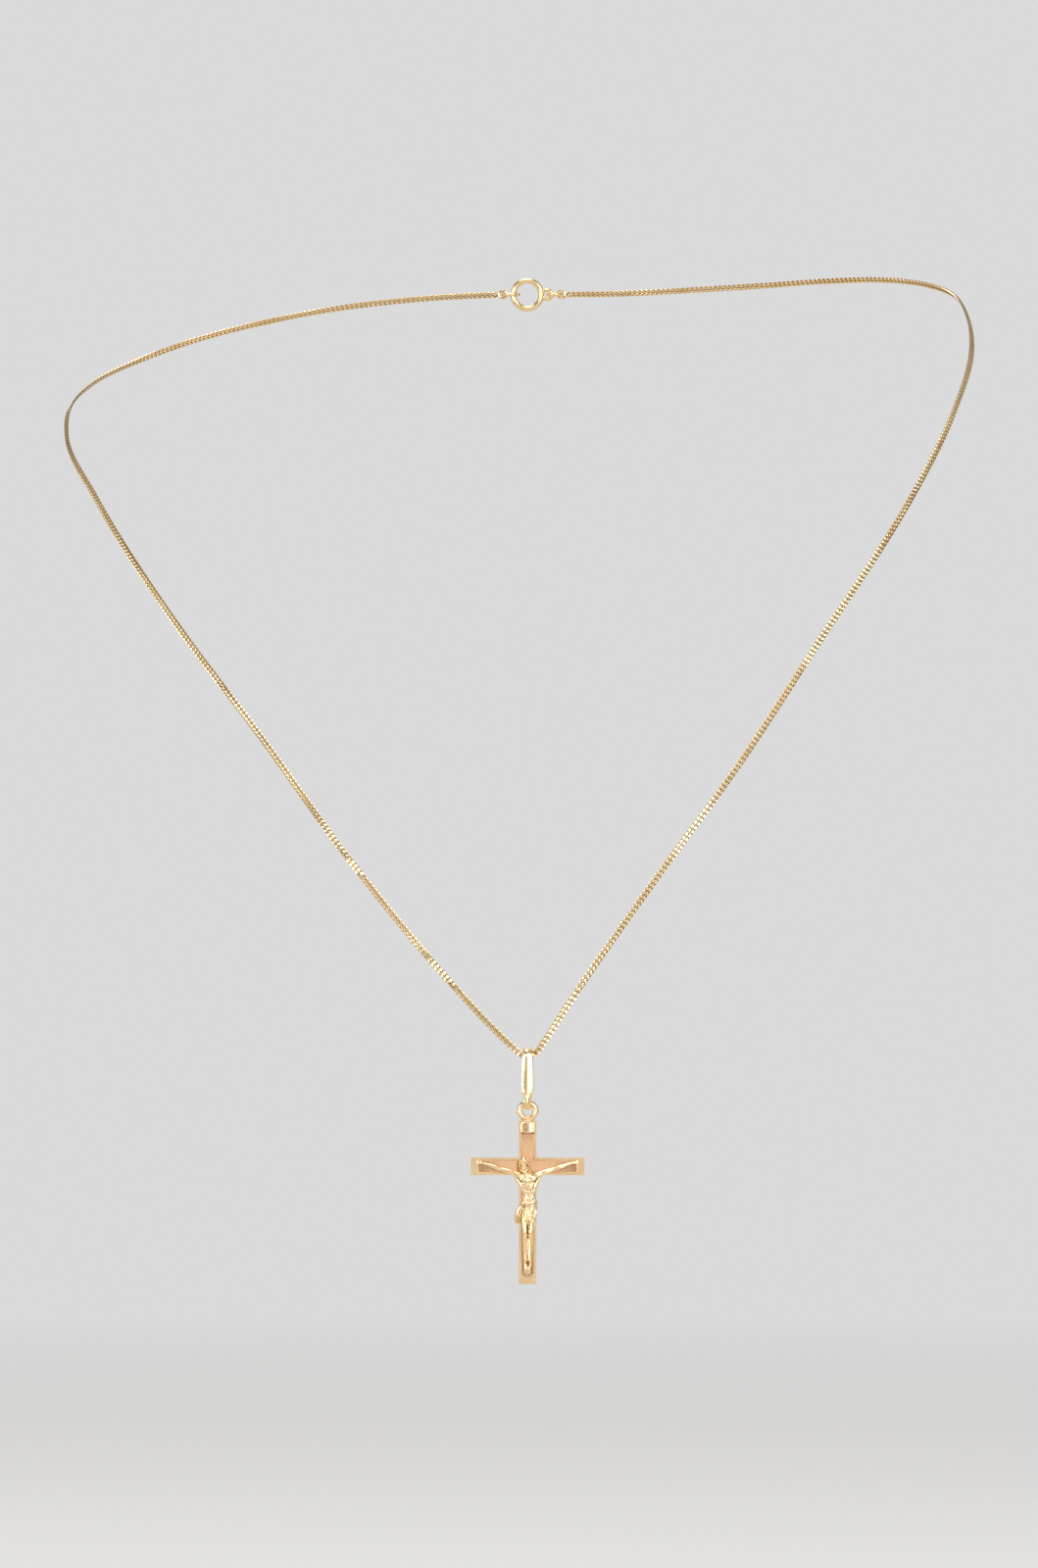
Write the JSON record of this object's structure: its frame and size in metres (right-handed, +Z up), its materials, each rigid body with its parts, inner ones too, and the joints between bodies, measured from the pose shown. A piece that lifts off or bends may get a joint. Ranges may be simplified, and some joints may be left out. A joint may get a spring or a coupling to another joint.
{
  "type": "crucifix pendant on a fine curb chain",
  "caption": "Gold crucifix pendant with a figure cast in relief, hung by a tapered ridged bail from a fine closed curb chain with a ring clasp at the nape.",
  "frame": {"origin": "where the necklace lies on the nape: the centre of the ring clasp at the back of the loop", "axes": "+Z up, along which the pendant hangs down; the wearer faces -Y, with the pendant at the front; +X is to the right as the front is seen"},
  "size_m": [0.141, 0.1034, 0.1549],
  "materials": {
    "chain_gold": "polished, flat-filed links",
    "fittings_gold": "polished",
    "bail_gold": "mirror polished",
    "cross_gold": "polished relief and rim, fine matt field"
  },
  "bodies": {
    "necklace": {"chain": "chain_gold", "clasp": "fittings_gold", "end_ring_left": "fittings_gold", "end_ring_right": "fittings_gold"},
    "hanging_bail": {"bail": "bail_gold"},
    "pendant": {"crucifix": "cross_gold"}
  },
  "joints": [
    {"name": "bail_swing", "type": "hinge", "parent": "necklace", "child": "hanging_bail", "pos_m": [0, -0.1, -0.118], "axis": [1, 0, 0], "range_deg": [-85, 85]},
    {"name": "pendant_swing", "type": "hinge", "parent": "hanging_bail", "child": "pendant", "pos_m": [0, -0.1, -0.1262], "axis": [0, 1, 0], "range_deg": [-80, 80]}
  ]
}
